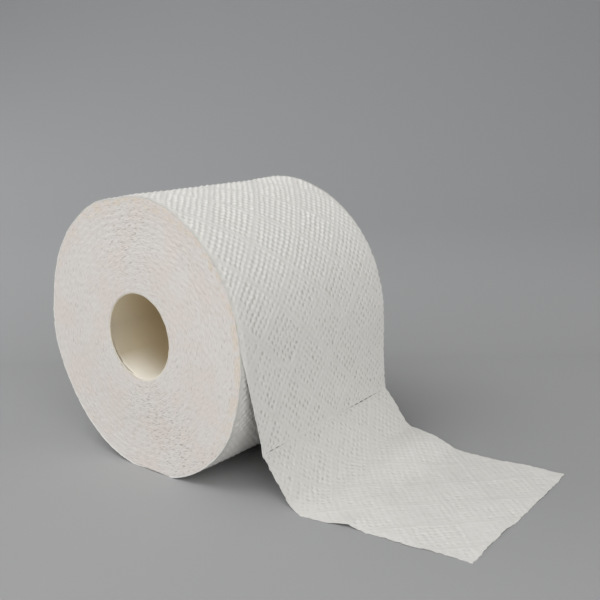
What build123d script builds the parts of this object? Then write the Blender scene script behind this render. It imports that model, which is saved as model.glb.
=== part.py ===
from build123d import *
import os
from math import asin, cos, degrees, radians, sin, sqrt, tan

# A toilet paper roll lying on its side, with its last sheet unrolled onto the table.
# The axis of the roll is Y and passes through the origin, halfway along the core.
# +Z is up, and the free sheet leaves towards +X.
# All sizes are in millimetres and all angles in degrees.

# The wound body
roll_width = 98.0  # along the axis, the width that the paper was cut to
roll_radius = 62.5
flat_spot_width = 14.0  # the soft roll sits flat on this much of its lowest turn
sheet_thickness = 0.5  # two embossed plies

# The cardboard core
core_bore_radius = 19.2
core_wall = 0.8
core_recess = 0.4  # each end of the core stops this far inside the paper

# The turns that show on each end of the wound body
turn_pitch = 2.5
turn_depth = 0.9  # from the crest of a turn to the valley beside it
turn_crest_drop = 0.1  # crests lie this far below the plain outer turns
plain_outer_turns = 2.6  # width of the outer turns that show no valley
plain_inner_turns = 1.0  # width of the first turns, glued flat on the core

# The free sheet
leaving_angle = 3.4  # above three o'clock, where the sheet leaves the roll
hanging_length = 41.5  # from there down to the perforation
sheet_slope = 57.0  # of the sheet below the perforation, under the horizontal
crease_radius = 1.2
floor_bend_radius = 20.0
lying_reach = 155.5  # from the axis to the middle of the torn edge
tear_slant = 5.0  # the near corner reaches this much further than the far one
near_drift = (6.5, 15.8)  # of the near edge inwards, at the perforation and the tear
far_drift = (1.5, 10.2)  # of the far edge outwards, at the perforation and the tear

# The perforation and the torn edge
slit_length = 3.0
slit_tie = 1.1  # paper left between two slits
slit_gap = 0.35
slit_margin = 2.0  # unslit paper at each edge of the sheet
tooth_width = 3.1
tooth_depth = 0.9

cut_margin = 2.0  # how far a cut runs on past what it trims

core_radius = core_bore_radius + core_wall
half_width = roll_width / 2

# The outermost sheet leaves at three o'clock, so the roll is one sheet thinner below
# it. The lower half of the outline is a semicircle about a centre that lies half a
# sheet's thickness to the left, and it meets the upper half smoothly at nine o'clock.
lower_center_x = -sheet_thickness / 2
lower_radius = roll_radius - sheet_thickness / 2
under_radius = roll_radius - sheet_thickness
flat_half_angle = degrees(asin(flat_spot_width / 2 / lower_radius))
floor_z = -sqrt(lower_radius**2 - (flat_spot_width / 2) ** 2)


def on_circle(radius, angle):
    return (radius * cos(radians(angle)), radius * sin(radians(angle)))


# The free sheet's upper face, seen along the axis: it hangs along the tangent, bends
# at the perforation, slopes out to the table and lies on it.
leaving_point = on_circle(roll_radius, leaving_angle)
crease_point = (
    leaving_point[0] + hanging_length * sin(radians(leaving_angle)),
    leaving_point[1] - hanging_length * cos(radians(leaving_angle)),
)
lying_z = floor_z + sheet_thickness
slope_run = (crease_point[1] - lying_z) / tan(radians(sheet_slope))
touching_point = (crease_point[0] + slope_run, lying_z)
near_tear_x = lying_reach + tear_slant / 2
far_tear_x = lying_reach - tear_slant / 2
sheet_end = (near_tear_x + tooth_depth + cut_margin, lying_z)

# The free sheet's two edges along the axis: on the roll, at the perforation and at
# the tear. It was pulled a little to the far side.
near_y = [-half_width, near_drift[0] - half_width, near_drift[1] - half_width]
far_y = [half_width, far_drift[0] + half_width, far_drift[1] + half_width]
sheet_reach = max(far_y[2], -near_y[0]) + cut_margin
crease_width = far_y[1] - near_y[1]
slit_pitch = slit_length + slit_tie
slit_count = int((crease_width - 2 * slit_margin + slit_tie) / slit_pitch)
tooth_count = round((far_y[2] - near_y[2]) / tooth_width)


# A point of the torn edge. It runs straight from the near corner to the far one, and
# each step goes a little in or out of that line, by an uneven amount.
def tear_point(step):
    share = step / tooth_count
    bite = tooth_depth * (0.55 + 0.45 * sin(2.3 * step)) * (-1) ** step
    x = near_tear_x + (far_tear_x - near_tear_x) * share + bite
    y = near_y[2] + (far_y[2] - near_y[2]) * share
    return (x, y)


# The free sheet
with BuildPart() as free_sheet:
    with BuildSketch(Plane.XZ):
        with BuildLine():
            upper_face = FilletPolyline(
                leaving_point,
                crease_point,
                touching_point,
                sheet_end,
                radius=[crease_radius, floor_bend_radius],
            )
            offset(upper_face, amount=sheet_thickness, side=Side.RIGHT)
        make_face()
    extrude(amount=sheet_reach, both=True)

    # Trim the hanging stretch to its two edges, seen along X.
    with BuildSketch(Plane.YZ):
        for edge_y, side in ((near_y, -1), (far_y, 1)):
            outside_y = side * (sheet_reach + cut_margin)
            with BuildLine():
                Polyline(
                    (edge_y[0], leaving_point[1] + cut_margin),
                    (edge_y[0], leaving_point[1]),
                    (edge_y[1], crease_point[1]),
                    (outside_y, crease_point[1]),
                    (outside_y, leaving_point[1] + cut_margin),
                    close=True,
                )
            make_face()
    extrude(amount=sheet_end[0], mode=Mode.SUBTRACT)

    # Trim the lying stretch to its edges and its tear, seen from above.
    inside_x = crease_point[0] - cut_margin
    outside_x = sheet_end[0] + cut_margin
    outside_y = sheet_reach + cut_margin
    with BuildSketch(Plane.XY.offset(crease_point[1])):
        with BuildLine():
            Polyline(
                (inside_x, near_y[1]),
                (crease_point[0], near_y[1]),
                *[tear_point(step) for step in range(tooth_count + 1)],
                (crease_point[0], far_y[1]),
                (inside_x, far_y[1]),
                (inside_x, outside_y),
                (outside_x, outside_y),
                (outside_x, -outside_y),
                (inside_x, -outside_y),
                close=True,
            )
        make_face()
    extrude(amount=floor_z - crease_point[1] - cut_margin, mode=Mode.SUBTRACT)

    # The perforation is a row of slits through the crease.
    crease_facing = Plane(
        origin=(crease_point[0], (near_y[1] + far_y[1]) / 2, crease_point[1]),
        x_dir=(0, 1, 0),
        z_dir=(
            cos(radians(leaving_angle)) + sin(radians(sheet_slope)),
            0,
            sin(radians(leaving_angle)) + cos(radians(sheet_slope)),
        ),
    )
    with BuildSketch(crease_facing):
        with GridLocations(slit_pitch, 0, slit_count, 1):
            Rectangle(slit_length, slit_gap)
    extrude(amount=2 * sheet_thickness, both=True, mode=Mode.SUBTRACT)

# The spiral of turns, as crests and valleys. Above the roll's axis they are half
# rings about it, and below it they are half rings about a centre that lies half a
# pitch to the left. So each half ring runs on into the next turn out.
turn_room = roll_radius - core_radius - plain_outer_turns - plain_inner_turns
turn_count = int(turn_room / turn_pitch) - 1
outer_crest_x = roll_radius - plain_outer_turns
inner_crest_x = outer_crest_x - turn_count * turn_pitch
crest_y = half_width - turn_crest_drop
valley_y = crest_y - turn_depth


# The outline of what is cleared between the turns at the roll's far end, where the
# turns cross three o'clock. The zigzag starts and ends on a crest.
def valleys_outline(inner_x):
    points = [(inner_x, half_width + cut_margin)]
    for turn in range(turn_count):
        points.append((inner_x + turn * turn_pitch, crest_y))
        points.append((inner_x + (turn + 0.5) * turn_pitch, valley_y))
    points.append((inner_x + turn_count * turn_pitch, crest_y))
    points.append((inner_x + turn_count * turn_pitch, half_width + cut_margin))
    return points


# The wound paper and its free sheet
with BuildPart() as paper:
    with BuildSketch(Plane.XZ):
        with BuildLine():
            CenterArc((0, 0), roll_radius, leaving_angle, 180 - leaving_angle)
            left = CenterArc((lower_center_x, 0), lower_radius, 180, 90 - flat_half_angle)
            right = CenterArc((lower_center_x, 0), lower_radius, 0, flat_half_angle - 90)
            Line(left @ 1, right @ 1)
            CenterArc((0, 0), under_radius, 0, leaving_angle)
            Line(on_circle(under_radius, leaving_angle), leaving_point)
        make_face()
        Circle(core_radius, mode=Mode.SUBTRACT)
    extrude(amount=half_width, both=True)

    with BuildSketch(Plane.XY):
        with BuildLine():
            Polyline(*valleys_outline(inner_crest_x), close=True)
        make_face()
        mirror(about=Plane.XZ)
    revolve(axis=Axis((0, 0, 0), (0, -1, 0)), revolution_arc=180, mode=Mode.SUBTRACT)

    with BuildSketch(Plane.XY):
        with BuildLine():
            Polyline(*valleys_outline(inner_crest_x - turn_pitch), close=True)
        make_face()
        mirror(about=Plane.XZ)
    lower_axis = Axis((-turn_pitch / 2, 0, 0), (0, 1, 0))
    revolve(axis=lower_axis, revolution_arc=180, mode=Mode.SUBTRACT)
    add(free_sheet.part)
paper.part.label = "paper"

# The core
with BuildPart() as core:
    with BuildSketch(Plane.XZ):
        Circle(core_radius)
        Circle(core_bore_radius, mode=Mode.SUBTRACT)
    extrude(amount=half_width - core_recess, both=True)
core.part.label = "core"

os.makedirs("parts", exist_ok=True)
export_step(paper.part, "parts/paper.step")
export_step(core.part, "parts/core.step")
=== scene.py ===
import math

import bpy
import numpy as np
from mathutils import Matrix, Vector


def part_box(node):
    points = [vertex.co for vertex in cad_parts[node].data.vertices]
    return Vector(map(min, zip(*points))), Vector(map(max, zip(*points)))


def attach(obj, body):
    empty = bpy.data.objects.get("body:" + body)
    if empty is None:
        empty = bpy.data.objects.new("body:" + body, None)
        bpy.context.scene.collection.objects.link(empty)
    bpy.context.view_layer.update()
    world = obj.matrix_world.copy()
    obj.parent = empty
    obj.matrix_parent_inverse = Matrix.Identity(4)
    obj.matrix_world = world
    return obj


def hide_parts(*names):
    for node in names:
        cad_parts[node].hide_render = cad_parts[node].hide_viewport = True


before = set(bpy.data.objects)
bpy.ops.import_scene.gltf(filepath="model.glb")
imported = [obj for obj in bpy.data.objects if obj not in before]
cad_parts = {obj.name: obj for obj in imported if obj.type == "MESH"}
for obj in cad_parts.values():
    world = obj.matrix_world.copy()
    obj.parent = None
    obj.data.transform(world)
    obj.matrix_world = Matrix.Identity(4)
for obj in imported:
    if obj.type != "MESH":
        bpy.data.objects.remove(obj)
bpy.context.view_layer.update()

# The CAD nodes give the roll's own sizes. Values are in metres and radians, unless a
# comment says otherwise.
mm = 0.001
degree = math.pi / 180
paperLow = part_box("paper")[0]
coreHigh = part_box("core")[1]
rollRadius = -paperLow.x
halfWidth = -paperLow.y
floorHeight = paperLow.z
coreRadius = coreHigh.x
coreHalfLength = coreHigh.y

# How the outermost sheet is wound, hangs and lies. Lengths along it are measured from
# the perforation where it bends: positive up onto the roll, negative out to the tear.
sheet = {
    "thickness": 0.28 * mm,
    "turnStep": 0.5 * mm,  # a full turn further in, the roll is this much smaller
    "leavingAngle": 3.4 * degree,
    "hangingLength": 41.5 * mm,
    "nearSag": 3.2 * mm,  # how much lower the near end of the perforation hangs
    "tissueLength": 109.8 * mm,
    "nearDrift": (0.0, 7.3 * mm, 15.8 * mm),  # inwards: on the roll, at the bend, at the tear
    "farDrift": (0.0, 1.5 * mm, 10.2 * mm),  # outwards, at the same places
    "twist": 1.05 * mm,  # near side out and far side in, at the bend
}

# A soft roll is not quite round. Each bump is a rise of the outline, flat-topped or
# rounded: its angle and half its width in degrees, its height at the near and the far
# end in millimetres, and how square it is.
softness = {
    "saggedBelow": (-54, 31, 2.2, 1.7, 4),
    "pressedFlat": (215, 25, -1.7, -1.0, 2),
    "pressedBack": (170, 13, -1.1, -0.6, 2),
    "fullBack": (134, 16, 0.7, 0.4, 2),
    "flatTop": (105, 14, -1.5, -1.8, 2),
    "fullShoulder": (78, 16, 0.5, 0.2, 2),
    "pulledFront": (30, 38, -0.5, 1.1, 2),
    "leavingFar": (4, 5, 0.0, 0.3, 2),
}

# The near rim stands up a little at one place.
rimRise = {"angle": 112 * degree, "halfWidth": 10 * degree, "height": 1.5 * mm, "depth": 6.0 * mm}

# The outermost turn stands off the roll a little, most of all at the far end of the top.
looseness = {
    "average": 0.10 * mm,
    "uneven": 70 * mm,  # the longest of the ripples in it
    "atTop": 0.7 * mm,
    "topAngle": 95 * degree,
    "topWidth": 16 * degree,
    "topShare": (0.78, 0.97),  # it rises between these parts of the width
}

# At the roll's ends each sheet bends in, crumpled and without a pattern.
margin = {
    "width": 2.8 * mm,
    "uneven": 0.35,  # how much the width of the plain strip varies
    "rounding": 0.45 * mm,
    "farRounding": 0.15,  # part of the rounding that the far end has
    "shade": 0.42,
}

# The embossed pattern: pins in a square grid that stands on its corner, with every
# eighth row left out both ways, which leaves plain lanes between diamonds of pins.
# A and B are the two directions of the lanes.
emboss = {
    "pinPitch": 2.54 * mm,
    "pinsPerDiamond": 8,
    "pinDepth": 0.50 * mm,
    "pillow": 0.26 * mm,  # how far the paper swells between the pins
    "laneAlong": 27.6 * mm,  # two lanes cross this far above the bend
    "laneAcross": 5.9 * mm,  # and this far from the middle of the width
    "laneHalfA": (0.5, 0.67),  # half a lane in pins, where the sheet hangs and on the roll
    "laneHalfB": (0.5, 0.56),
    "laneFade": 0.4,  # the pins come back over this distance, in pins
    "laneLeast": 0.16,  # part of the pattern that is left in a lane
    "laneRidge": 0.05 * mm,  # a thin rise along both sides of a lane
    "ridgeAt": 0.42,  # its place beside the lane and half its width, in pins
    "ridgeHalf": 0.13,
    "lyingShift": 0.7,  # pins that the rows are further along where the sheet lies
    "jitter": 0.12,  # how far the rows wander, in pins
    "wander": (21 * mm, 6 * mm),  # the longest ripple in that, everywhere and where it hangs
    "hangingWander": 1.1,
    "diamondShift": 0.22,  # how far the pins of a diamond are off the common grid, in pins
    "unevenness": 0.48,  # how much the depth differs from pin to pin
}

# How strongly the pattern is pressed, and what changes it over the paper.
pressing = {
    "onRoll": 0.96,
    "uneven": 0.25,
    "byDiamond": 0.4,
    "whereHanging": 0.35,
    "whereLying": -0.72,
    "belowBend": 0.32,  # part that is lost on the slope below the bend
    "atEdges": 0.5,  # part that is lost near the edges of the hanging sheet
    "atMargin": 0.85,  # part that is lost in the plain strip at the roll's ends
}

# Painted shade: how much darker the paper is painted in a pit and in a lane, and where it
# slopes free of the floor. Painted highlight: how much paler the beads are painted.
patternShade = {"pit": 0.5, "hangingPit": 0.75, "bead": 0.3, "lane": 0.06, "laneHalf": 0.4, "free": 0.24}

# A perforation is a row of slits with ties of paper between them.
perforation = {
    "slitLength": 3.0 * mm,
    "tie": 1.1 * mm,
    "opening": 0.02 * mm,  # on each side of the line, where the paper is wound
    # Where the hanging sheet is pulled open: by how much, where across, and over what reach
    "pulledOpen": ((0.29 * mm, 28.0 * mm, 11.0 * mm), (0.15 * mm, -42.0 * mm, 9.0 * mm)),
    "margin": 2.0 * mm,
    "reach": 0.7 * mm,  # how far from the line the paper gives way
    "ear": 0.4 * mm,  # how far the near corners stand out at the bend
    "earLength": 2.2 * mm,
}


def smoothStep(x, start, end):
    # 0 before start, 1 after end, and an S curve in between
    t = np.clip((x - start) / (end - start), 0, 1)
    return t * t * (3 - 2 * t)


def hump(x):
    # A smooth hump of height 1, which is gone at 2 to either side
    return np.exp(-(x**2))


def waves(x, seed, longest, count=6):
    # Smooth unevenness of about one either way: sines that get shorter and lower
    rng = np.random.default_rng(seed)
    total = np.zeros(np.shape(x))
    for k in range(count):
        length = longest / 1.7**k
        total = total + np.sin(2 * np.pi * (x / length + rng.random())) / 1.45**k
    return total / 1.8


def ripples(u, v, seed, longest, count=9):
    # The same in two directions: plane waves that run in random directions
    rng = np.random.default_rng(seed)
    total = np.zeros(np.broadcast(u, v).shape)
    for k in range(count):
        length = longest / 1.35**k
        turn = rng.random() * np.pi
        along = u * np.cos(turn) + v * np.sin(turn)
        total = total + np.sin(2 * np.pi * (along / length + rng.random())) / 1.25**k
    return total / 2.2


def chance(first, second, keys):
    # A value from 0 to 1 for each pair of whole numbers: what is left of a long sine
    value = np.sin(first * keys[0] + second * keys[1]) * keys[2]
    return value - np.floor(value)


def laneMarks(a, b, hanging, lying):
    # From the counts of pins along both diagonals: 1 where a place is clear of the lanes,
    # the thin rises beside them, and their painted shade. Lanes are wider on the roll.
    rows = emboss["pinsPerDiamond"]
    least = emboss["laneLeast"]
    inside, ridges, shade = 1.0, 0.0, 0.0
    directions = (
        (a, emboss["laneHalfA"], 1, 1 + lying),
        (b, emboss["laneHalfB"], 1 - 0.2 * lying, 1),
    )
    for count, (hangingHalf, woundHalf), ridgeShare, shadeShare in directions:
        away = np.abs((count + rows / 2) % rows - rows / 2)
        half = hangingHalf + (woundHalf - hangingHalf) * (1 - hanging)
        inside = np.minimum(inside, smoothStep(away - half, -emboss["laneFade"], 0))
        ridges = ridges + ridgeShare * hump((away - emboss["ridgeAt"]) / emboss["ridgeHalf"])
        shade = shade + shadeShare * hump(away / patternShade["laneHalf"])
    return least + (1 - least) * inside, ridges, shade


def regions(v, u):
    # How far the paper hangs, lies on the floor, and is below the bend, 0 to 1 each. The
    # pattern of the hanging sheet reaches further up on the far side.
    farther = smoothStep(u, -30 * mm, 40 * mm)
    hanging = 1 - smoothStep(v, (44 + 12 * farther) * mm, (76 + 22 * farther) * mm)
    lying = 1 - smoothStep(v, -42 * mm, -20 * mm)
    below = 1 - smoothStep(v, -8 * mm, -0.5 * mm)
    return hanging, lying, below


def pinCounts(v, u, hanging, lying):
    # The place counted in pins along the two diagonals, whose rows wander a little
    step = emboss["pinPitch"] * math.sqrt(2)
    along = v - emboss["laneAlong"]
    across = u - emboss["laneAcross"]
    wide, fine = emboss["wander"]
    more = emboss["hangingWander"] * hanging
    a = (along + across) / step - emboss["lyingShift"] * lying
    a = a + emboss["jitter"] * (ripples(u, v, 12, wide) + more * ripples(u, v, 14, fine))
    b = (along - across) / step
    b = b + emboss["jitter"] * (ripples(u, v, 13, wide) + more * ripples(u, v, 15, fine))
    return a, b


def pressedStrength(v, u, luck, plain):
    # The pattern is strongest where the sheet hangs, weak where it lies, and gone along a
    # perforation. It differs from diamond to diamond by luck.
    hanging, lying, below = regions(v, u)
    strength = pressing["onRoll"] + pressing["uneven"] * ripples(u, v, 11, 33 * mm)
    strength = strength + pressing["byDiamond"] * luck
    strength = strength + pressing["whereHanging"] * hanging + pressing["whereLying"] * lying
    strength = strength * (1 - pressing["belowBend"] * below * (1 - lying))
    strength = strength * (1 - pressing["atEdges"] * smoothStep(np.abs(u), 40 * mm, 48 * mm) * hanging)
    strength = strength * smoothStep(np.abs(v), 0.2 * mm, 1.6 * mm)
    return strength * (1 - pressing["atMargin"] * plain)


def embossRelief(v, u):
    # Each pin presses a round pit where both counts are whole, and the paper between four
    # pins swells into a bead. The pits are wide and even on the roll, and narrower and
    # less even where the sheet hangs. Gives the height and the painted shade, positive in
    # pits, lanes, the free slope and the plain strip, and negative as painted highlight on beads.
    hanging, lying, below = regions(v, u)
    a, b = pinCounts(v, u, hanging, lying)
    inside, ridges, lanePaintedShade = laneMarks(a, b, hanging, lying)
    rows = emboss["pinsPerDiamond"]
    luck = chance(np.floor(a / rows), np.floor(b / rows), (35.7, 91.3, 2153.7)) - 0.5
    a = a + emboss["diamondShift"] * luck
    b = b - emboss["diamondShift"] * luck

    wavy = margin["width"] * (1 + margin["uneven"] * waves(v + np.sign(u) * 30 * mm, 46, 12 * mm))
    plain = (1 - smoothStep(halfWidth - np.abs(u), 0.3 * mm, wavy)) * (1 - hanging)
    strength = pressedStrength(v, u, luck, plain)

    between = smoothStep(v, -16 * mm, -2 * mm) * hanging
    pit = 0.25 * (1 + np.cos(2 * np.pi * a)) * (1 + np.cos(2 * np.pi * b))
    pit = pit ** (1.0 + 1.1 * hanging) * (0.5 + 0.5 * np.cos(2 * np.pi * (a - b))) ** (2.4 * between)
    depth = chance(np.round(a), np.round(b), (12.99, 78.23, 4375.85)) - 0.5
    pit = inside * strength * (1 + emboss["unevenness"] * (0.5 + hanging) * depth * 2) * pit
    bead = (0.25 * (1 - np.cos(2 * np.pi * a)) * (1 - np.cos(2 * np.pi * b))) ** 1.3
    fullness = chance(np.floor(a), np.floor(b), (53.17, 17.31, 3517.29)) - 0.5
    bead = bead * (1 + emboss["unevenness"] * fullness * 2.4) * (1 - 0.9 * hanging)
    bead = inside * strength * bead

    height = emboss["pillow"] * bead - emboss["pinDepth"] * pit
    height = height + emboss["laneRidge"] * ridges * (strength + lying)
    # Painted shade where the sheet slopes free of the floor
    free = (v < 0) * smoothStep(v, -36 * mm, -22 * mm)
    shade = pit * (patternShade["pit"] + patternShade["hangingPit"] * hanging * (1 - below))
    shade = shade - patternShade["bead"] * bead + patternShade["lane"] * lanePaintedShade
    return height, shade + patternShade["free"] * free + margin["shade"] * plain


def slitGap(u, distance, pulled=False):
    # How far the paper stands back from a perforation, at a distance from its line:
    # nothing at a tie, and most where the sheet is pulled open
    pitch = perforation["slitLength"] + perforation["tie"]
    place = np.abs((u / pitch) % 1 - 0.5) * pitch
    slitEnd = perforation["slitLength"] / 2
    slit = 1 - smoothStep(place, slitEnd - 0.4 * mm, slitEnd + 0.1 * mm)
    slit = slit * (np.abs(u) < halfWidth - perforation["margin"])
    opening = perforation["opening"]
    if pulled:
        opening = sum(most * hump((u - middle) / reach) for most, middle, reach in perforation["pulledOpen"])
    gap = slit * opening
    return gap * np.exp(-distance / perforation["reach"])


def cornerEar(distance):
    # How far the near edge stands out beside the bend
    return perforation["ear"] * hump(distance / perforation["earLength"])


def nearAngle(angle, middle, half, square):
    # A hump of height 1 at the middle angle, flatter and steeper the more square it is
    away = (angle - middle + np.pi) % (2 * np.pi) - np.pi
    return np.exp(-np.abs(away / half) ** square)


def outOfRound(angle, y):
    # How far the roll's outline is out of round, at an angle and a place along the axis
    total = np.zeros(np.broadcast(angle, y).shape)
    farShare = np.clip(0.5 + 0.5 * y / halfWidth, 0, 1)
    for middle, half, near, far, square in softness.values():
        height = near * mm + farShare * (far * mm - near * mm)
        total = total + height * nearAngle(angle, middle * degree, half * degree, square)
    away = (angle - rimRise["angle"]) / rimRise["halfWidth"]
    inwards = (y + halfWidth) / rimRise["depth"]
    return total + rimRise["height"] * np.exp(-(away**2) - inwards**2)


def wrapLine(v):
    # The outermost sheet seen along the axis. Above three o'clock it follows the roll.
    # The lower half turns about a centre half a step to the left, so a whole turn brings
    # it in by one step. Short of that it hangs along the tangent, down to the bend.
    step = sheet["turnStep"]
    leave = sheet["leavingAngle"]
    hang = sheet["hangingLength"]
    angle = leave + np.maximum(v - hang, 0) / rollRadius
    lower = (angle > np.pi) & (angle <= 2 * np.pi)
    radius = np.select([angle <= np.pi, lower], [rollRadius, rollRadius - step / 2], rollRadius - step)
    centre = np.where(lower, -step / 2, 0)
    fallen = np.maximum(hang - v, 0)
    x = centre + radius * np.cos(angle) + fallen * math.sin(leave)
    z = radius * np.sin(angle) - fallen * math.cos(leave)
    return x, z, angle


def edges(v):
    # Where the near and the far edge are along the axis, which drift as the sheet was pulled
    places = [-sheet["tissueLength"], 0, sheet["hangingLength"]]
    near = np.interp(v, places, sheet["nearDrift"][::-1]) - halfWidth
    far = np.interp(v, places, sheet["farDrift"][::-1]) + halfWidth
    return near, far


def woundSurface(v, share):
    # Share runs from 0 at the near edge to 1 at the far one. A point of the wrap line is
    # moved out from the axis by how loose and out of round the turn is, and in again at
    # the margins. Where the sheet hangs, its near side sags and turns outwards.
    x, z, angle = wrapLine(v)
    near, far = edges(v)
    y = near + share * (far - near)
    around = angle * rollRadius
    atTop = hump((angle - looseness["topAngle"]) / looseness["topWidth"])
    loose = looseness["atTop"] * atTop * smoothStep(share, *looseness["topShare"])
    loose = loose + looseness["average"] * (1 + ripples(around, y, 5, looseness["uneven"]))
    loose = loose + outOfRound(angle, y)
    atEnd = 1 - smoothStep(halfWidth - np.abs(y), 0, margin["width"])
    atEnd = atEnd * np.where(y < 0, 1, margin["farRounding"]) * smoothStep(np.sin(angle), -0.95, -0.3)
    crumpled = 0.75 + 0.35 * waves(around + np.sign(y) * 40 * mm, 45, 15 * mm)
    hang = sheet["hangingLength"]
    onRoll = smoothStep(v, hang - 26 * mm, hang - 2 * mm)
    loose = (loose - margin["rounding"] * crumpled * atEnd) * onRoll
    fallen = smoothStep(hang - v, -6 * mm, hang)
    x = x + loose * np.cos(angle) + sheet["twist"] * fallen * (1 - 2 * share)
    z = z + loose * np.sin(angle) - sheet["nearSag"] * fallen * (1 - share)
    return np.stack(np.broadcast_arrays(x, y, z), axis=-1)


def pointNumbers(points):
    # The numbers of the points of a grid, in its rows and columns
    rows, columns = points.shape[:2]
    return np.arange(rows * columns).reshape(rows, columns)


def aroundAxis(radius, angle, y):
    # Points at a distance from the roll's axis, an angle and a place along it
    x, z = radius * np.cos(angle), radius * np.sin(angle)
    return np.stack(np.broadcast_arrays(x, y, z), axis=-1)


def gridFaces(number, turned=False):
    # The quads between the rows and columns of a grid of point numbers
    quads = np.stack([number[:-1, :-1], number[:-1, 1:], number[1:, 1:], number[1:, :-1]], axis=-1)
    quads = quads.reshape(-1, 4)
    return quads[:, ::-1] if turned else quads


def surfaceNormals(points):
    # The direction across times the direction along, worked out from neighbouring points
    along = np.gradient(points, axis=0)
    across = np.gradient(points, axis=1)
    normal = np.cross(across, along)
    return normal / np.linalg.norm(normal, axis=-1, keepdims=True)


def addObject(name, data):
    made = bpy.data.objects.new(name, data)
    bpy.context.scene.collection.objects.link(made)
    return made


def makePiece(name, points, quads, material, flat=None, paintedShadeAndHighlight=None):
    # Puts whole arrays into a mesh: points, four corners a face, flat coordinates, painted shade and
    # highlight
    mesh = bpy.data.meshes.new(name)
    mesh.vertices.add(len(points))
    mesh.vertices.foreach_set("co", points.astype(np.float32).ravel())
    mesh.loops.add(quads.size)
    mesh.loops.foreach_set("vertex_index", quads.astype(np.int32).ravel())
    mesh.polygons.add(len(quads))
    mesh.polygons.foreach_set("loop_start", np.arange(0, quads.size, 4, dtype=np.int32))
    mesh.polygons.foreach_set("use_smooth", np.ones(len(quads), dtype=bool))
    if flat is not None:
        layer = mesh.uv_layers.new(name="flat")
        layer.data.foreach_set("uv", flat[quads.ravel()].astype(np.float32).ravel())
    if paintedShadeAndHighlight is not None:
        layer = mesh.attributes.new("paintedShadeAndHighlight", "FLOAT", "POINT")
        layer.data.foreach_set("value", paintedShadeAndHighlight.astype(np.float32).ravel())
    mesh.update(calc_edges=True)
    mesh.validate()
    mesh.set_sharp_from_angle(angle=70 * degree)
    mesh.materials.append(material)
    made = addObject(name, mesh)
    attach(made, "root")
    return made


def closedSheet(outer, inner):
    # Two layers of the same grid and a rim of quads that joins their borders
    number = pointNumbers(outer)
    count = number.size
    border = np.concatenate([number[0], number[1:, -1], number[-1, -2::-1], number[-2::-1, 0]])
    rim = gridFaces(np.stack([border, border + count], axis=-1))
    quads = np.concatenate([gridFaces(number), gridFaces(number + count, turned=True), rim])
    return np.concatenate([outer.reshape(-1, 3), inner.reshape(-1, 3)]), quads


def flatCoordinates(v, u):
    # Tenths of a metre across and along the paper, for the materials
    v, u = np.broadcast_arrays(v, u)
    return np.stack([u.ravel(), v.ravel()], axis=-1) * 10


def keepAboveFloor(points, gap=0.0):
    points[..., 2] = np.maximum(points[..., 2], floorHeight + gap)
    return points


def makeSheet(name, points, v, u):
    # A sheet whose outer face carries the pattern and whose inner face follows it
    normals = surfaceNormals(points)
    relief, paintedShadeAndHighlight = embossRelief(v, u)
    outer = points + relief[..., None] * normals
    inner = keepAboveFloor(outer - sheet["thickness"] * normals)
    outer = keepAboveFloor(outer, sheet["thickness"] / 2)
    flat = np.tile(flatCoordinates(v, u), (2, 1))
    return makePiece(name, *closedSheet(outer, inner), embossedTissue, flat, np.tile(paintedShadeAndHighlight.ravel(), 2))


print("tissue materials")


def addNode(tree, kind, inputs=None, **settings):
    # Adds a node, sets its properties, and sets or links each named or numbered input
    made = tree.nodes.new(kind)
    for name, value in settings.items():
        setattr(made, name, value)
    for name, value in (inputs or {}).items():
        if isinstance(value, bpy.types.NodeSocket):
            tree.links.new(value, made.inputs[name])
        else:
            made.inputs[name].default_value = value
    return made


def mathNode(tree, operation, first, second=0.0, clamp=False):
    made = addNode(tree, "ShaderNodeMath", {0: first, 1: second}, operation=operation, use_clamp=clamp)
    return made.outputs[0]


def vectorNode(tree, operation, first, second=(0, 0, 0)):
    inputs = {0: first, 1: second}
    return addNode(tree, "ShaderNodeVectorMath", inputs, operation=operation).outputs


def multiply(tree, first, second, clamp=False):
    return mathNode(tree, "MULTIPLY", first, second, clamp)


def mapRange(tree, value, start, end, low=0.0, high=1.0):
    # Goes evenly from low to high as the value goes from start to end, and no further
    ranges = {"From Min": start, "From Max": end, "To Min": low, "To Max": high}
    return addNode(tree, "ShaderNodeMapRange", {0: value, **ranges}).outputs[0]


def addNoise(tree, place, scale, detail, roughness):
    inputs = {"Vector": place, "Scale": scale, "Detail": detail, "Roughness": roughness}
    return addNode(tree, "ShaderNodeTexNoise", inputs).outputs["Fac"]


def blendColours(tree, factor, first, second):
    made = addNode(tree, "ShaderNodeMix", {0: factor, 6: first, 7: second}, data_type="RGBA")
    return made.outputs[2]


def makeGroup(name, numbers, outputs):
    # An empty node group that takes a vector and some numbers with these defaults
    group = bpy.data.node_groups.new(name, "ShaderNodeTree")
    group.interface.new_socket("Vector", in_out="INPUT", socket_type="NodeSocketVector")
    for label, default in numbers.items():
        socket = group.interface.new_socket(label, in_out="INPUT", socket_type="NodeSocketFloat")
        socket.default_value = default
    for label, kind in outputs.items():
        group.interface.new_socket(label, in_out="OUTPUT", socket_type=kind)
    return group, group.nodes.new("NodeGroupInput").outputs, group.nodes.new("NodeGroupOutput").inputs


def makeFibreGroup():
    # Fine fibres lying mostly one way, and soft clouds where the paper is thicker
    outputs = {"Fibre": "NodeSocketFloat", "Cloud": "NodeSocketFloat"}
    group, given, out = makeGroup("paperFibres", {"Across": 1.0, "Along": 1.0}, outputs)
    stretch = addNode(group, "ShaderNodeCombineXYZ", {0: given["Across"], 1: given["Along"], 2: 1.0})
    stretched = vectorNode(group, "MULTIPLY", given["Vector"], stretch.outputs[0])[0]
    group.links.new(addNoise(group, stretched, 1.0, 3.0, 0.6), out["Fibre"])
    group.links.new(addNoise(group, given["Vector"], 26.0, 2.0, 0.5), out["Cloud"])
    return group


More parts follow.
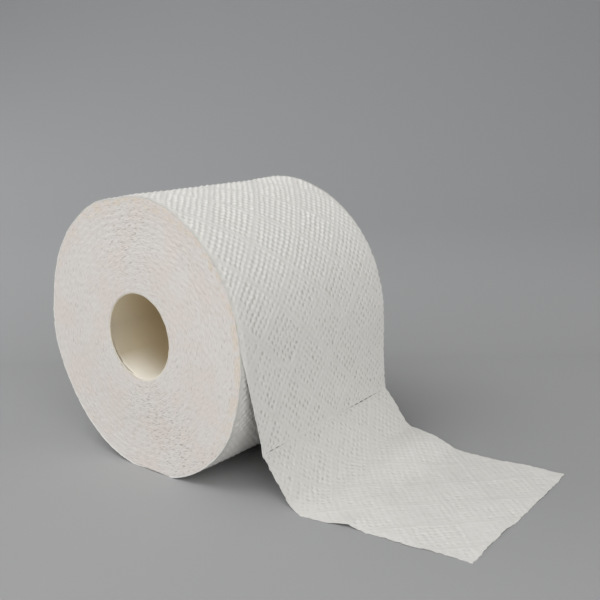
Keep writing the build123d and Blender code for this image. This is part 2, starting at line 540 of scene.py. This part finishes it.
def makeLayerGroup():
    # The edges of the wound layers, seen on an end of the roll. The distance from the
    # axis and the turn give a spiral that numbers the layers. Each layer carries its own
    # row of embossed pins, whose place depends on the length of paper wound before it.
    outputs = {"Ridge": "NodeSocketFloat", "Crimp": "NodeSocketFloat", "Polar": "NodeSocketVector"}
    group, given, out = makeGroup("woundLayers", {"Layer": mm, "Pin": mm}, outputs)
    axes = addNode(group, "ShaderNodeSeparateXYZ", {0: given["Vector"]}).outputs
    onEnd = addNode(group, "ShaderNodeCombineXYZ", {0: axes[0], 1: axes[2], 2: 0.0}).outputs[0]
    radius = vectorNode(group, "LENGTH", onEnd)["Value"]
    turn = mathNode(group, "DIVIDE", mathNode(group, "ARCTAN2", axes[2], axes[0]), 2 * math.pi)
    spiral = mathNode(group, "ADD", mathNode(group, "DIVIDE", radius, given["Layer"]), turn)
    number = mathNode(group, "FLOOR", spiral)
    inLayer = mathNode(group, "FRACT", spiral)
    ridge = mathNode(group, "SINE", multiply(group, inLayer, math.pi))
    wound = mathNode(group, "SUBTRACT", turn, number)
    half = multiply(group, multiply(group, wound, wound), 0.5)
    length = mathNode(group, "SUBTRACT", multiply(group, wound, 0.5), half)
    pins = mathNode(group, "DIVIDE", multiply(group, given["Layer"], 2 * math.pi), given["Pin"])
    phase = mathNode(group, "FRACT", multiply(group, length, pins))
    crimp = mathNode(group, "SINE", multiply(group, phase, 2 * math.pi))
    arc = multiply(group, turn, multiply(group, radius, 2 * math.pi))
    polar = addNode(group, "ShaderNodeCombineXYZ", {0: radius, 1: arc, 2: axes[1]})
    group.links.new(ridge, out["Ridge"])
    group.links.new(crimp, out["Crimp"])
    group.links.new(polar.outputs[0], out["Polar"])
    return group


fibreGroup = makeFibreGroup()
layerGroup = makeLayerGroup()


def addFibres(tree, place, scales):
    # The fibre group with its scales across and along
    inputs = {"Vector": place, "Across": scales[0], "Along": scales[1]}
    return addNode(tree, "ShaderNodeGroup", inputs, node_tree=fibreGroup).outputs


def newMaterial(name):
    # A material with an empty Principled shader joined to its output
    material = bpy.data.materials.new(name)
    material.use_nodes = True
    tree = material.node_tree
    tree.nodes.clear()
    shader = tree.nodes.new("ShaderNodeBsdfPrincipled")
    output = tree.nodes.new("ShaderNodeOutputMaterial")
    tree.links.new(shader.outputs[0], output.inputs["Surface"])
    return material, tree, shader


def finishMaterial(tree, shader, colour, values, relief=None):
    # Joins the colour and any fine relief, and sets what is the same all over
    tree.links.new(colour, shader.inputs["Base Color"])
    shader.inputs["Roughness"].default_value = values["roughness"]
    shader.inputs["Specular IOR Level"].default_value = values["specular"]
    if relief is not None:
        inputs = {"Height": relief, "Strength": values["bumpStrength"], "Distance": values["bumpDistance"]}
        bump = addNode(tree, "ShaderNodeBump", inputs)
        tree.links.new(bump.outputs[0], shader.inputs["Normal"])


tissueFace = {
    "white": (0.775, 0.765, 0.735, 1),
    "thin": (0.755, 0.742, 0.705, 1),
    # Painted shade in the pits and painted highlight on the beads
    "pit": (0.52, 0.505, 0.465, 1),
    "bead": (0.84, 0.835, 0.812, 1),
    "pitPaintedShadeShare": 0.8,
    "beadPaintedHighlightShare": 2.4,
    "fibres": (240.0, 620.0),  # to a tenth of a metre, across and along
    "crepe": (60.0, 330.0),
    "crepeShare": 1.4,
    "bumpStrength": 0.55,
    "bumpDistance": 0.12 * mm,
    "roughness": 0.93,
    "specular": 0.22,
}


def makeTissueFace():
    # White fibres, greyer where the paper is thin, with painted shade in the pits and lanes, painted
    # highlight on the beads, and a fine relief of creases
    material, tree, shader = newMaterial("embossedTissue")
    flat = addNode(tree, "ShaderNodeUVMap", uv_map="flat").outputs[0]
    fibres = addFibres(tree, flat, tissueFace["fibres"])
    crepe = addFibres(tree, flat, tissueFace["crepe"])
    thinness = mapRange(tree, fibres["Cloud"], 0.35, 0.68)
    colour = blendColours(tree, thinness, tissueFace["white"], tissueFace["thin"])
    paintedShadeAndHighlight = addNode(tree, "ShaderNodeAttribute", attribute_name="paintedShadeAndHighlight").outputs["Fac"]
    pitPaintedShade = multiply(tree, paintedShadeAndHighlight, tissueFace["pitPaintedShadeShare"], clamp=True)
    beadPaintedHighlight = multiply(tree, paintedShadeAndHighlight, -tissueFace["beadPaintedHighlightShare"], clamp=True)
    colour = blendColours(tree, pitPaintedShade, colour, tissueFace["pit"])
    # Painted highlight: the beads are painted paler.
    colour = blendColours(tree, beadPaintedHighlight, colour, tissueFace["bead"])
    creased = multiply(tree, crepe["Fibre"], tissueFace["crepeShare"])
    relief = mathNode(tree, "ADD", fibres["Fibre"], creased)
    finishMaterial(tree, shader, colour, tissueFace, relief)
    return material


tissueEnds = {
    "pink": (0.762, 0.704, 0.662, 1),
    "pale": (0.755, 0.729, 0.697, 1),
    "cream": (0.755, 0.685, 0.60, 1),
    "gap": (0.42, 0.36, 0.31, 1),
    "layer": 0.42 * mm,
    "pin": 3.6 * mm,
    "dashes": (2500.0, 360.0),  # to a metre, out from the axis and around it
    "valleyShade": 0.12,
    "roughAt": ((-4 * mm, 44 * mm), (8 * mm, -33 * mm), (24 * mm, -49 * mm)),  # (x, z), cut badly
    "roughReach": 23.0 * mm,
    "roughShare": 0.6,
    "elsewhere": 0.85,
    "creamWidth": 4.0 * mm,  # of the outer turns, which are looser and look warmer
    "creamSide": (0.64, 0, 0.77),  # the side of the roll where they do
    "bumpStrength": 0.35,
    "bumpDistance": 0.28 * mm,
    "roughness": 0.95,
    "specular": 0.15,
}


def makeTissueEnds():
    # Pink and pale clouds, and dark dashes along the layers, most of them at the places
    # that were cut badly. The outer turns have beads of a warmer white.
    material, tree, shader = newMaterial("woundTissueEnds")
    place = addNode(tree, "ShaderNodeTexCoord").outputs["Object"]
    inputs = {"Vector": place, "Layer": tissueEnds["layer"], "Pin": tissueEnds["pin"]}
    layers = addNode(tree, "ShaderNodeGroup", inputs, node_tree=layerGroup).outputs
    strands = addFibres(tree, layers["Polar"], tissueEnds["dashes"])

    clouds = mapRange(tree, addNoise(tree, place, 70.0, 3.0, 0.55), 0.38, 0.62)
    body = blendColours(tree, clouds, tissueEnds["pink"], tissueEnds["pale"])
    radius = addNode(tree, "ShaderNodeSeparateXYZ", {0: layers["Polar"]}).outputs[0]
    inner = rollRadius - tissueEnds["creamWidth"]
    outerTurns = mapRange(tree, radius, inner - mm, inner)
    towards = vectorNode(tree, "DOT_PRODUCT", place, tissueEnds["creamSide"])["Value"]
    inFront = mapRange(tree, towards, -0.2 * rollRadius, 0.5 * rollRadius)
    beads = mapRange(tree, addNoise(tree, place, 240.0, 1.0, 0.5), 0.42, 0.58)
    outerTurns = multiply(tree, multiply(tree, outerTurns, inFront), beads)
    body = blendColours(tree, outerTurns, body, tissueEnds["cream"])

    rough = multiply(tree, addNoise(tree, place, 60.0, 1.0, 0.5), tissueEnds["elsewhere"])
    onEnd = vectorNode(tree, "MULTIPLY", place, (1, 0, 1))[0]
    reach = tissueEnds["roughReach"]
    for x, z in tissueEnds["roughAt"]:
        away = vectorNode(tree, "DISTANCE", onEnd, (x, 0, z))["Value"]
        spot = mapRange(tree, away, 0.2 * reach, reach, tissueEnds["roughShare"], 0.0)
        rough = mathNode(tree, "ADD", rough, spot)
    dashes = mapRange(tree, strands["Fibre"], 0.34, 0.45, 1.0, 0.0)
    dashes = multiply(tree, dashes, rough)
    valley = mathNode(tree, "SUBTRACT", 1.0, layers["Ridge"], clamp=True)
    valley = multiply(tree, valley, tissueEnds["valleyShade"])
    shade = mathNode(tree, "ADD", dashes, valley, clamp=True)
    colour = blendColours(tree, shade, body, tissueEnds["gap"])

    crimped = multiply(tree, layers["Crimp"], 0.35)
    relief = mathNode(tree, "ADD", multiply(tree, layers["Ridge"], 0.5), crimped)
    relief = mathNode(tree, "ADD", relief, multiply(tree, strands["Fibre"], 2.6))
    finishMaterial(tree, shader, colour, tissueEnds, relief)
    return material


coreCard = {
    "card": (0.96, 0.825, 0.58, 1),
    "dark": (0.87, 0.74, 0.50, 1),
    "endsPaintedShade": (0.41, 0.35, 0.25, 1),  # painted shade: the card is painted darker towards both ends of the tube
    "endsPaintedShadeShare": 0.97,
    "endsPaintedShadeDepth": 43.0 * mm,
    "endsPaintedShadeTop": 0.35,  # part of that which is left at the top of the bore
    "edge": (0.80, 0.755, 0.66, 1),
    "edgeDepth": 0.12 * mm,
    "paintedLightNearOpening": (0.98, 0.945, 0.865, 1),  # painted light along the bottom, near the opening
    "paintedLightDepth": 24.0 * mm,
    "paintedLightHeight": (-0.52, -0.9),  # it strengthens between these heights, in core radii
    "paintedLightShare": 0.9,
    "paintedLightElsewhere": 0.12,
    "crackPaintedShade": (0.16, 0.125, 0.09, 1),  # painted shade where the inner ply has come loose at the rim
    "fibres": (160.0, 320.0),
    "bumpStrength": 0.3,
    "bumpDistance": 0.1 * mm,
    "roughness": 0.85,
    "specular": 0.25,
}


def makeCoreCard():
    # Brown fibres with painted shade towards both ends of the tube, less at the top of the bore, painted
    # light along the bottom near the near opening, a paler cut edge, and painted shade in the loose ply's
    # crack
    material, tree, shader = newMaterial("coreCard")
    flat = addNode(tree, "ShaderNodeUVMap", uv_map="flat").outputs[0]
    fibres = addFibres(tree, flat, coreCard["fibres"])
    mottled = multiply(tree, mapRange(tree, fibres["Fibre"], 0.35, 0.65), 0.5)
    mottled = multiply(tree, mathNode(tree, "ADD", mottled, fibres["Cloud"]), 0.6, clamp=True)
    colour = blendColours(tree, mottled, coreCard["card"], coreCard["dark"])

    place = addNode(tree, "ShaderNodeTexCoord").outputs["Object"]
    axes = addNode(tree, "ShaderNodeSeparateXYZ", {0: place}).outputs
    # Painted shade: darker towards both ends of the tube, less so at the top of the bore.
    along = mathNode(tree, "ABSOLUTE", axes[1])
    endsPaintedShadeFrom = coreHalfLength - coreCard["endsPaintedShadeDepth"]
    endsPaintedShade = mapRange(tree, along, endsPaintedShadeFrom, coreHalfLength, 0.0, coreCard["endsPaintedShadeShare"])
    atTop = mapRange(tree, axes[2], 0.1 * coreRadius, 0.8 * coreRadius, 1.0, coreCard["endsPaintedShadeTop"])
    colour = blendColours(tree, multiply(tree, endsPaintedShade, atTop), colour, coreCard["endsPaintedShade"])

    # Painted light: paler along the bottom near the opening, where light falls into the bore, and a little
    # paler all round near the rim.
    nearRim = mapRange(tree, axes[1], coreCard["paintedLightDepth"] - coreHalfLength, -coreHalfLength)
    paintedLightFrom, paintedLightTo = coreCard["paintedLightHeight"]
    atBottom = mapRange(tree, axes[2], paintedLightFrom * coreRadius, paintedLightTo * coreRadius)
    paintedLight = mathNode(tree, "POWER", multiply(tree, nearRim, atBottom), 0.75)
    paintedLight = multiply(tree, paintedLight, coreCard["paintedLightShare"], clamp=True)
    paintedLight = mathNode(tree, "MAXIMUM", paintedLight, multiply(tree, nearRim, coreCard["paintedLightElsewhere"]))
    colour = blendColours(tree, paintedLight, colour, coreCard["paintedLightNearOpening"])
    cut = mathNode(tree, "GREATER_THAN", along, coreHalfLength - coreCard["edgeDepth"])
    colour = blendColours(tree, cut, colour, coreCard["edge"])
    # Painted shade in the crack where the inner ply has come loose
    crackPaintedShade = addNode(tree, "ShaderNodeAttribute", attribute_name="paintedShadeAndHighlight").outputs["Fac"]
    colour = blendColours(tree, crackPaintedShade, colour, coreCard["crackPaintedShade"])
    finishMaterial(tree, shader, colour, coreCard, fibres["Fibre"])
    return material


embossedTissue = makeTissueFace()
woundTissueEnds = makeTissueEnds()
coreCardMaterial = makeCoreCard()

print("last sheet")

# Slopes are (mm from the bend, degrees down), flares (mm from the bend, mm outwards), and
# waves along an edge (height, seed, length of the longest).
lastSheet = {
    "rows": 226,
    "columns": 204,
    "ragged": 0.5 * mm,
    "clearance": 0.05 * mm,  # under the lying paper
    "nearSlope": ((0, 70), (6, 68), (9, 56), (24, 61), (27, 22), (30, 3), (33, 0)),
    "farSlope": ((0, 45), (8, 56), (19.5, 55), (24.5, 10), (28, 8), (34, 9))
    + ((40, 21), (47, 20), (52, 6), (58, 0)),
    "nearFlare": ((2, 0), (8, -0.2), (15, 0.1), (25, 0.3), (29, 1.2), (33, 3.4), (39, 3.3))
    + ((44, 2.9), (49, 1.9), (54, 1.0), (64, 1.3), (80, 1.4), (89, 0)),
    "farFlare": ((40, 0), (50, -1.0), (70, -1.1), (79, 0)),
    "nearWaves": ((0.22 * mm, 31, 30 * mm), (0.26 * mm, 33, 5.5 * mm)),
    "farWaves": ((0.25 * mm, 32, 26 * mm), (0.18 * mm, 34, 8 * mm)),
    "nearReach": 158.0 * mm,  # from the roll's axis to the torn end
    "farReach": 153.0 * mm,
    "edgeLift": 1.3 * mm,  # the near edge stands off the floor at one place
    "liftAt": 105 * mm,  # from the roll's axis
    "liftLength": 5.5 * mm,
    "liftWidth": 9 * mm,
    "cockle": 0.20 * mm,
}


def slopeLine(knots, drop):
    # The sheet below the bend, from its slope at some distances along it. Short steps in
    # the direction of the slope are added up, and the line is scaled to come down by drop.
    distance = np.linspace(0, 130 * mm, 1301)
    slope = np.interp(distance, [k[0] * mm for k in knots], [k[1] * degree for k in knots])
    rounding = np.hanning(41)
    slope = np.convolve(np.pad(slope, 20, mode="edge"), rounding / rounding.sum(), mode="valid")
    step = distance[1]
    x = np.concatenate([[0], np.cumsum(np.cos(slope[:-1]))]) * step
    z = -np.concatenate([[0], np.cumsum(np.sin(slope[:-1]))]) * step
    scale = drop / -z[-1]
    return distance * scale, x * scale, z * scale


def tearLine(share):
    # The torn end against a straight line: small steps, and one deeper tear past the middle
    steps = 0.45 * waves(share, 21, 0.16, 7) + 0.35 * waves(share, 22, 0.045, 3)
    kink = 1.5 * (smoothStep(share, 0.34, 0.40) - smoothStep(share, 0.40, 0.62))
    return lastSheet["ragged"] * (steps + kink)


def edgeShift(distance, wavy, flare, side):
    # How far an edge is moved to the far side: its flare between the knots, and its waves
    shift = side * mm * np.interp(distance / mm, *np.transpose(flare))
    return shift + sum(height * waves(distance, seed, longest) for height, seed, longest in wavy)


def makeLastSheet():
    # Near and far edge each follow their own slope line, and the sheet is blended between
    bendX, bendZ, _ = (float(value) for value in wrapLine(np.array(0.0)))
    drop = bendZ - floorHeight - sheet["thickness"] - lastSheet["clearance"]
    nearLine = slopeLine(lastSheet["nearSlope"], drop)
    farLine = slopeLine(lastSheet["farSlope"], drop)
    nearLength = np.interp(lastSheet["nearReach"] - bendX - sheet["twist"], nearLine[1], nearLine[0])
    farLength = np.interp(lastSheet["farReach"] - bendX + sheet["twist"], farLine[1], farLine[0])
    down = np.linspace(0, 1, lastSheet["rows"])[::-1, None]
    share = np.linspace(0, 1, lastSheet["columns"])[None, :]
    length = nearLength + share * (farLength - nearLength)
    u = (share - 0.5) * 2 * halfWidth
    distance = down * length + tearLine(share) * smoothStep(down, 0.97, 1.0)
    distance = distance + slitGap(u, down * length, pulled=True)

    blend = smoothStep(share, 0.05, 0.95)
    x, z = [
        (1 - blend) * np.interp(distance, nearLine[0], near) + blend * np.interp(distance, farLine[0], far)
        for near, far in zip(nearLine[1:], farLine[1:])
    ]
    x = bendX + x + sheet["twist"] * (1 - 2 * share)
    sag = sheet["nearSag"] * (1 - share)
    z = bendZ - sag + z * (drop - sag) / drop

    near, far = edges(-distance)
    near = near + edgeShift(distance, lastSheet["nearWaves"], lastSheet["nearFlare"], -1)
    near = near - cornerEar(distance)
    far = far + edgeShift(distance, lastSheet["farWaves"], lastSheet["farFlare"], 1)
    y = near + share * (far - near)
    alongLift = (x - lastSheet["liftAt"]) / lastSheet["liftLength"]
    acrossLift = (y - near) / lastSheet["liftWidth"]
    z = z + lastSheet["edgeLift"] * np.exp(-(alongLift**2) - acrossLift**2)
    lying = smoothStep(distance, 30 * mm, 45 * mm)
    z = z + lastSheet["cockle"] * (0.6 + ripples(distance, y, 8, 46 * mm)) * lying
    points = np.stack(np.broadcast_arrays(x, y, z), axis=-1)
    piece = makeSheet("last_sheet", points, -distance, u)
    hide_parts("paper")
    return piece, (nearLength + farLength) / 2


lastSheetPiece, lastLength = makeLastSheet()

print("hanging sheet")

hangingSheet = {"rows": 232, "columns": 206, "scallop": 0.10 * mm, "scallopLength": 7 * mm}


def makeHangingSheet():
    # From the bend up over the front of the roll to the second perforation
    v = np.linspace(0, sheet["tissueLength"], hangingSheet["rows"])[:, None]
    share = np.linspace(0, 1, hangingSheet["columns"])[None, :]
    u = (share - 0.5) * 2 * halfWidth
    v = v + slitGap(u, v, pulled=True) - slitGap(u, sheet["tissueLength"] - v)
    points = woundSurface(v, share)
    scallop = hangingSheet["scallop"] * waves(v, 41, hangingSheet["scallopLength"])
    points[..., 1] += scallop * (2 * share - 1) - cornerEar(v) * (1 - share)
    piece = makeSheet("hanging_sheet", points, v, u)
    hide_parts("paper")
    return piece


hangingSheetPiece = makeHangingSheet()

print("outer turn")

outerTurn = {
    "topGrid": (262, 230),  # rows and columns
    "backGrid": (372, 152),
    "end": 372 * degree,
    "lips": 4,  # columns that go on past each edge
    "edgeRoll": 0.95 * mm,  # how far down the cut end they go
    "edgeTuck": 0.4 * mm,  # and how far in
    "scallop": 0.14 * mm,
    "scallopLeast": 0.05 * mm,
    "scallopLength": 7 * mm,
}


def makeWoundSheet(name, start, end, grid):
    # One layer on the roll, whose columns go on past each edge and down the cut end
    rows, columns = grid
    v = np.linspace(start, end, rows)[:, None]
    lip = np.arange(1, outerTurn["lips"] + 1) / outerTurn["lips"]
    across = np.concatenate([-lip[::-1], np.linspace(0, 1, columns), 1 + lip])
    share = np.clip(across, 0, 1)[None, :]
    inwards = np.abs(across - np.clip(across, 0, 1))[None, :]
    u = (share - 0.5) * 2 * halfWidth
    v = v + slitGap(u, v - start) - slitGap(u, end - v)
    points = woundSurface(v, share)
    side = 2 * share - 1
    scallop = outerTurn["scallop"] * waves(v + 50 * mm * share, 43, outerTurn["scallopLength"])
    points[..., 1] -= np.abs(scallop + outerTurn["scallopLeast"]) * side
    radial = aroundAxis(1, wrapLine(v)[2], 0 * share)
    relief, paintedShadeAndHighlight = embossRelief(v, u)
    rise = relief * (inwards == 0) - inwards * outerTurn["edgeRoll"]
    points = points + rise[..., None] * radial
    points[..., 1] -= np.where(inwards > 0, outerTurn["edgeTuck"] * inwards**2 * side, 0)
    points = keepAboveFloor(points)
    quads = gridFaces(pointNumbers(points))
    paintedShadeAndHighlight = paintedShadeAndHighlight * (inwards == 0)
    piece = makePiece(name, points.reshape(-1, 3), quads, embossedTissue, flatCoordinates(v, u), paintedShadeAndHighlight)
    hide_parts("paper")
    return piece


thirdPerforation = 2 * sheet["tissueLength"]
turnEnd = sheet["hangingLength"] + (outerTurn["end"] - sheet["leavingAngle"]) * rollRadius
topSheetPiece = makeWoundSheet("top_sheet", sheet["tissueLength"], thirdPerforation, outerTurn["topGrid"])
backSheetPiece = makeWoundSheet("back_sheets", thirdPerforation, turnEnd, outerTurn["backGrid"])

print("wound body")

woundBody = {
    "rings": 92,
    "spokes": 520,
    "turnPitch": 2.5 * mm,
    "turnDepth": 0.02 * mm,
    "finerDepth": 0.015 * mm,
    "crimpDepth": 0.07 * mm,
    "dishDepth": 0.12 * mm,
    "crestDrop": 0.1 * mm,
    "plainOuter": 2.6 * mm,
    "plainInner": 1.0 * mm,
    "sideRings": (-47 * mm, -44 * mm, -40 * mm, -34 * mm, 0.0, 40 * mm),
    "under": 0.95 * mm,  # the body's rim lies this far under the outermost sheet
    "underClose": 0.62 * mm,  # and this far between these two angles
    "closeBetween": (13 * degree, 68 * degree),
    "offFloor": 0.3 * mm,
}


def endRelief(radius, angle, seed):
    # How far an end of the roll stands back: a spiral of turns whose depth varies from
    # turn to turn, finer rings between them, and a crimp that runs across the layers
    plainInner = woundBody["plainInner"]
    plainOuter = woundBody["plainOuter"]
    spiral = radius / woundBody["turnPitch"] + angle / (2 * np.pi)
    crest = (rollRadius - plainOuter) / woundBody["turnPitch"]
    valley = 0.5 - 0.5 * np.cos(2 * np.pi * (spiral - crest))
    inner = smoothStep(radius, coreRadius + plainInner, coreRadius + 2 * plainInner)
    outer = 1 - smoothStep(radius, rollRadius - 1.3 * plainOuter, rollRadius - 0.6 * plainOuter)
    depth = woundBody["turnDepth"] * (0.7 + 0.35 * waves(spiral, seed, 5.3))
    arc = angle * radius
    wander = 1.6 * ripples(radius, arc, seed + 1, 30 * mm)
    finer = woundBody["finerDepth"] * np.cos(4 * np.pi * spiral + wander)
    crimp = woundBody["crimpDepth"] * ripples(radius * 2.2, arc, seed + 2, 6.5 * mm, 6)
    dish = woundBody["dishDepth"] * waves(spiral, seed + 3, 19.0, 2)
    return woundBody["crestDrop"] + (depth * valley + finer) * inner * outer + (crimp + dish) * inner


def makeWoundBody():
    # Each end is a ring of points from the core out to the rim. The two rings are joined
    # by the bore and by the plain side that the outermost sheet covers.
    angle = np.linspace(0, 2 * np.pi, woundBody["spokes"], endpoint=False)[:, None]
    share = np.linspace(0, 1, woundBody["rings"])[None, :]
    start, end = woundBody["closeBetween"]
    fade = 3 * degree
    close = smoothStep(angle, start - fade, start + fade) - smoothStep(angle, end - fade, end + fade)
    rim = rollRadius - woundBody["under"] + close * (woundBody["under"] - woundBody["underClose"])
    radius = coreRadius + share * (rim - coreRadius)
    ends = []
    for side, seed in ((-1, 51), (1, 71)):
        shifted = radius + share**1.5 * outOfRound(angle, side * halfWidth)
        meet = smoothStep(angle, 1.9 * np.pi, 2 * np.pi)
        relief = endRelief(radius, angle, seed) * (1 - meet)
        relief = relief + endRelief(radius, angle - 2 * np.pi, seed) * meet
        y = side * (halfWidth - np.maximum(relief, 0.02 * mm))
        ends.append(aroundAxis(shifted, angle, y))
    sides = [aroundAxis(rim + outOfRound(angle, y), angle, y) for y in woundBody["sideRings"]]

    number = pointNumbers(ends[0])
    spokes, count = len(number), number.size
    near = np.concatenate([number, number[:1]])
    far = near + count
    ring = np.arange(spokes + 1) % spokes
    rings = [near[:, -1]] + [2 * count + k * spokes + ring for k in range(len(sides))] + [far[:, -1]]
    quads = np.concatenate([
        gridFaces(near),
        gridFaces(far, turned=True),
        gridFaces(np.stack(rings), turned=True),
        gridFaces(np.stack([near[:, 0], far[:, 0]])),
    ])
    points = np.concatenate([part.reshape(-1, 3) for part in ends + sides])
    points = keepAboveFloor(points, woundBody["offFloor"])
    piece = makePiece("wound_body", points, quads, woundTissueEnds)
    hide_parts("paper")


makeWoundBody()

print("core")

coreTube = {
    "spokes": 220,
    "rows": 90,
    "wall": 0.6 * mm,
    "clearance": 0.02 * mm,
    "seamTurns": 0.62,
    "plyStep": 0.16 * mm,
    "ragged": 0.10 * mm,
    "looseAt": (226 * degree, 27 * degree),  # the inner ply has come loose at the near rim
    "looseDepth": 0.5 * mm,
    "looseRagged": 0.25 * mm,
    "pressedAt": (236 * degree, 34 * degree),  # where the tube is pressed in a little
    "pressedDepth": 0.45 * mm,
    "crackPaintedShadeShare": 0.8,
}


def makeCore():
    # A tube with a helical lap where the card was wound, and a near rim whose inner ply
    # has come loose on one side. The rows are closest together at the two ends.
    angle = np.linspace(0, 2 * np.pi, coreTube["spokes"], endpoint=False)[None, :]
    along = np.sin(np.linspace(-np.pi / 2, np.pi / 2, coreTube["rows"]))[:, None]
    arc = angle * coreRadius
    y = along * coreHalfLength
    ragged = coreTube["ragged"] * waves(arc, 61, 9 * mm)
    y = y - ragged * np.sign(along) * smoothStep(np.abs(along), 0.99, 1.0)
    seam = (angle / (2 * np.pi) - coreTube["seamTurns"] * along - 0.72) % 1
    lap = coreTube["plyStep"] * smoothStep(seam, 0, 0.012) * (1 - seam)
    depth = y + coreHalfLength
    uneven = coreTube["looseRagged"] * waves(arc, 62, 8 * mm)
    loosePly = smoothStep(depth, 0.35 * mm, 0.5 * mm)
    loosePly = loosePly - smoothStep(depth, 0.95 * mm + uneven, 1.25 * mm + uneven)
    loosePly = loosePly * nearAngle(angle, *coreTube["looseAt"], 4)
    pressed = coreTube["pressedDepth"] * (1 - smoothStep(depth, 1 * mm, 7 * mm))
    pressed = pressed * nearAngle(angle, *coreTube["pressedAt"], 4)
    outerRadius = coreRadius - coreTube["clearance"] - pressed
    innerRadius = outerRadius - coreTube["wall"] + lap + coreTube["looseDepth"] * loosePly
    layers = [aroundAxis(radius, angle, y) for radius in (outerRadius, innerRadius)]

    number = pointNumbers(layers[0])
    count = number.size
    number = np.concatenate([number, number[:, :1]], axis=1)
    quads = np.concatenate([
        gridFaces(number.T),
        gridFaces(number.T + count, turned=True),
        gridFaces(np.stack([number[0], number[0] + count])),
        gridFaces(np.stack([number[-1], number[-1] + count]), turned=True),
    ])
    points = np.concatenate([layer.reshape(-1, 3) for layer in layers])
    flat = np.tile(flatCoordinates(y, np.abs(angle - np.pi) * coreRadius), (2, 1))
    # The loose ply's crack gets painted shade through the same attribute as the tissue.
    crackPaintedShade = coreTube["crackPaintedShadeShare"] * np.clip(loosePly, 0, 1).ravel()
    crackPaintedShade = np.concatenate([np.zeros(count), crackPaintedShade])
    piece = makePiece("core_tube", points, quads, coreCardMaterial, flat, crackPaintedShade)
    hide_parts("core")


makeCore()

print("studio")

studio = {
    "floorGrey": (0.382, 0.384, 0.387, 1),
    "backGrey": (0.655, 0.664, 0.678, 1),
    "paleFrom": 0.13,  # painted light: the grey is painted paler between these distances behind the roll
    "paleTo": 1.85,
    "paleCurve": 0.62,
    "frontReach": 1.6,
    "backReach": 0.7,
    "sweepRadius": 1.8,
    "wallHeight": 2.6,
    "width": 6.0,
    "roughness": 0.9,
    "specular": 0.1,
    "worldGrey": (0.14, 0.14, 0.14, 1),
}

cameraFit = {
    "place": (0.29359, -0.29240, 0.10246),
    "yaw": 39.538 * degree,  # to the left of +Y
    "down": 13.060 * degree,
    "roll": -0.962 * degree,
    "focalPixels": 883.1,
    "imagePixels": 600,
    "sensor": 36.0,
}

# Square soft lights that face the roll: place, size and power
lamps = {
    "keyLight": ((-0.25, -0.70, 1.25), 1.0, 8.1),
    "fillLight": ((0.85, -0.90, 1.05), 1.2, 7.9),
    "lowLight": ((1.35, -0.60, 0.27), 0.8, 6.1),
    "leftLight": ((-1.20, -0.50, 0.80), 1.2, 6.6),
    "frontLight": ((0.15, -1.40, 0.33), 0.9, 3.7),
    "backLight": ((0.90, 1.10, 0.90), 1.2, 1.7),
}


def makeStudioGrey(forward):
    # A grey that is painted paler with the distance behind the roll: painted light on the far backdrop
    material, tree, shader = newMaterial("studioGrey")
    place = addNode(tree, "ShaderNodeTexCoord").outputs["Object"]
    behind = vectorNode(tree, "DOT_PRODUCT", place, tuple(forward))["Value"]
    share = mapRange(tree, behind, studio["paleFrom"], studio["paleTo"])
    share = mathNode(tree, "POWER", share, studio["paleCurve"])
    colour = blendColours(tree, share, studio["floorGrey"], studio["backGrey"])
    finishMaterial(tree, shader, colour, studio)
    return material


def makeFloor():
    # Floor and backdrop in one sweep: flat, then a quarter round, then upright. It is
    # turned with the camera, so that the backdrop stands square behind the roll.
    flatRun = np.linspace(-studio["frontReach"], studio["backReach"], 12)
    bend = np.linspace(0, np.pi / 2, 24)[1:]
    radius = studio["sweepRadius"]
    wall = studio["backReach"] + radius
    away = np.concatenate([flatRun, studio["backReach"] + radius * np.sin(bend), [wall]])[:, None, None]
    up = np.concatenate([0 * flatRun, radius * (1 - np.cos(bend)), [studio["wallHeight"]]])[:, None, None]
    across = np.linspace(-0.5, 0.5, 9)[None, :, None] * studio["width"]
    yaw = cameraFit["yaw"]
    forward = np.array([-math.sin(yaw), math.cos(yaw), 0])
    right = np.array([math.cos(yaw), math.sin(yaw), 0])
    points = away * forward + across * right + up * np.array([0, 0, 1])
    points[..., 2] += floorHeight
    quads = gridFaces(pointNumbers(points))
    mesh = bpy.data.meshes.new("floor")
    mesh.from_pydata(points.reshape(-1, 3).tolist(), [], quads.tolist())
    mesh.polygons.foreach_set("use_smooth", np.ones(len(quads), dtype=bool))
    mesh.materials.append(makeStudioGrey(forward))
    floor = addObject("floor", mesh)


def makeLamps():
    for name, (place, size, power) in lamps.items():
        data = bpy.data.lights.new(name, "AREA")
        data.shape = "SQUARE"
        data.size = size
        data.energy = power
        lamp = addObject(name, data)
        lamp.location = place
        lamp.rotation_euler = (Vector((0.03, 0, 0)) - Vector(place)).to_track_quat("-Z", "Y").to_euler()


def makeCamera():
    # The axes of the camera from its three angles: right, up and back are the columns
    yaw, down, roll = cameraFit["yaw"], cameraFit["down"], cameraFit["roll"]
    forward = Vector((-math.sin(yaw) * math.cos(down), math.cos(yaw) * math.cos(down), -math.sin(down)))
    level = Vector((math.cos(yaw), math.sin(yaw), 0))
    upright = level.cross(forward)
    right = math.cos(roll) * level + math.sin(roll) * upright
    up = -math.sin(roll) * level + math.cos(roll) * upright
    data = bpy.data.cameras.new("camera")
    data.sensor_width = cameraFit["sensor"]
    data.lens = cameraFit["focalPixels"] * cameraFit["sensor"] / cameraFit["imagePixels"]
    data.clip_start = 0.01
    data.clip_end = 20
    camera = addObject("camera", data)
    axes = Matrix((right, up, -forward)).transposed().to_4x4()
    camera.matrix_world = Matrix.Translation(cameraFit["place"]) @ axes
    bpy.context.scene.camera = camera


makeFloor()
makeLamps()
makeCamera()
world = bpy.data.worlds.new("studioWorld")
world.use_nodes = True
world.node_tree.nodes["Background"].inputs[0].default_value = studio["worldGrey"]
bpy.context.scene.world = world
bpy.context.scene.view_settings.view_transform = "Standard"
